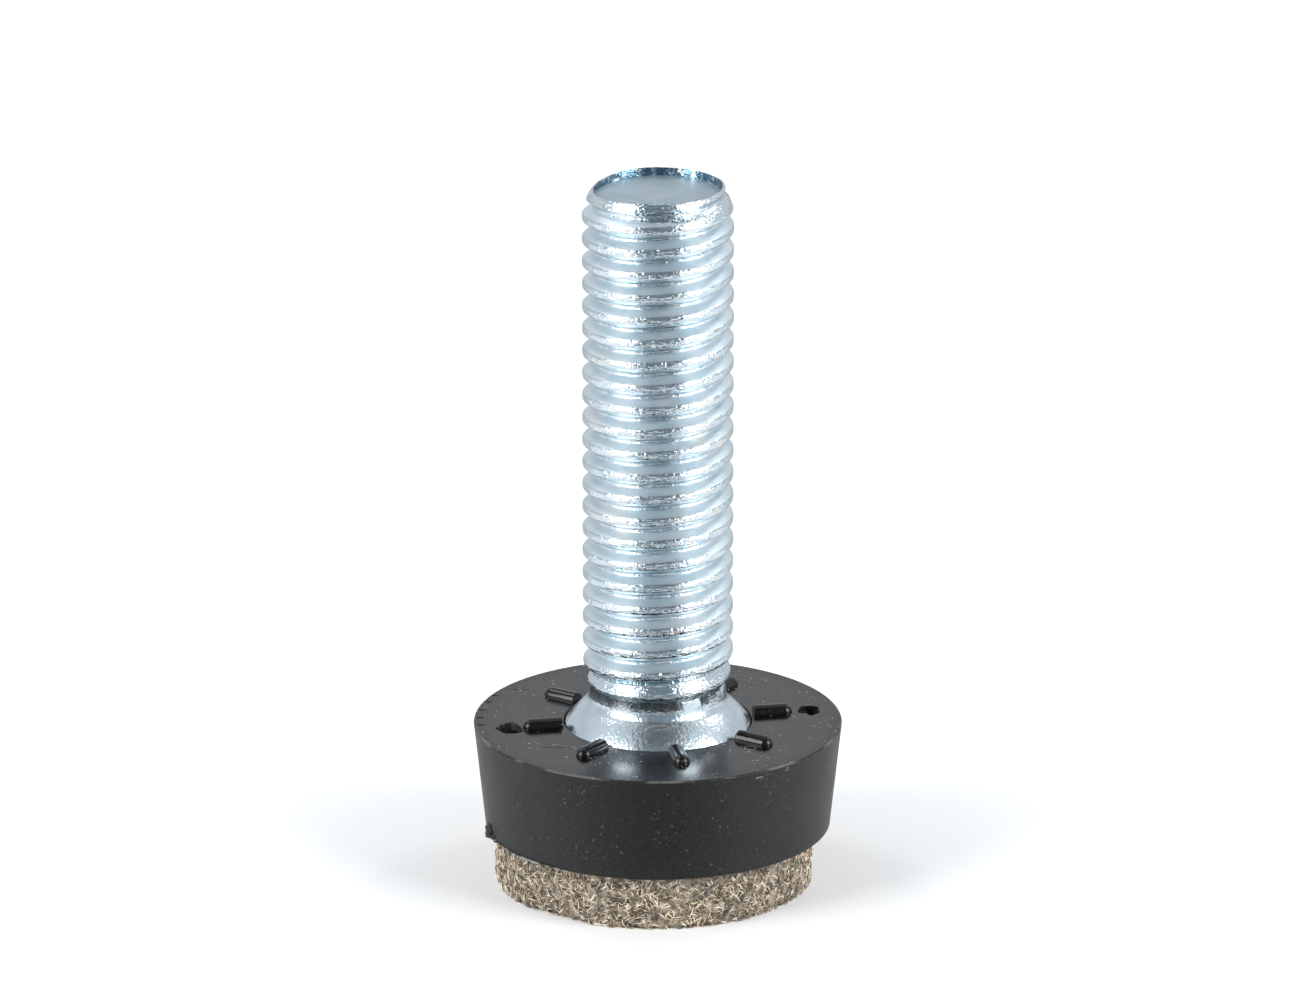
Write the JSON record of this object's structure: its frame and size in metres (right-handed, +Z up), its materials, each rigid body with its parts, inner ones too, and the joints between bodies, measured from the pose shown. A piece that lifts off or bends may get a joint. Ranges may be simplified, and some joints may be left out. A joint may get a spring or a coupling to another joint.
{
  "type": "levelling foot",
  "caption": "Swivel levelling foot: zinc-plated threaded stud with a ball head in a tapered black plastic base with a felt pad under it.",
  "frame": {"origin": "middle of the base's outline at the level of the felt's underside, which rests on the floor", "axes": "+Z up along the upright stud; the foot swivels about +Y, and the picture looks along +Y"},
  "size_m": [0.024, 0.024, 0.047],
  "materials": {
    "zinc_plated_steel": "bright zinc plating with a bluish cast",
    "black_plastic": "satin moulded sides, glossier top",
    "wool_felt": "mottled grey-brown pressed felt"
  },
  "bodies": {
    "base_body": {"base": "black_plastic", "felt_pad": "wool_felt"},
    "stud_body": {"threaded_stud": "zinc_plated_steel"}
  },
  "joints": [
    {"name": "swivel", "type": "hinge", "parent": "base_body", "child": "stud_body", "pos_m": [0, 0, 0.00625], "axis": [0, 1, 0], "range_deg": [-12, 12]}
  ]
}
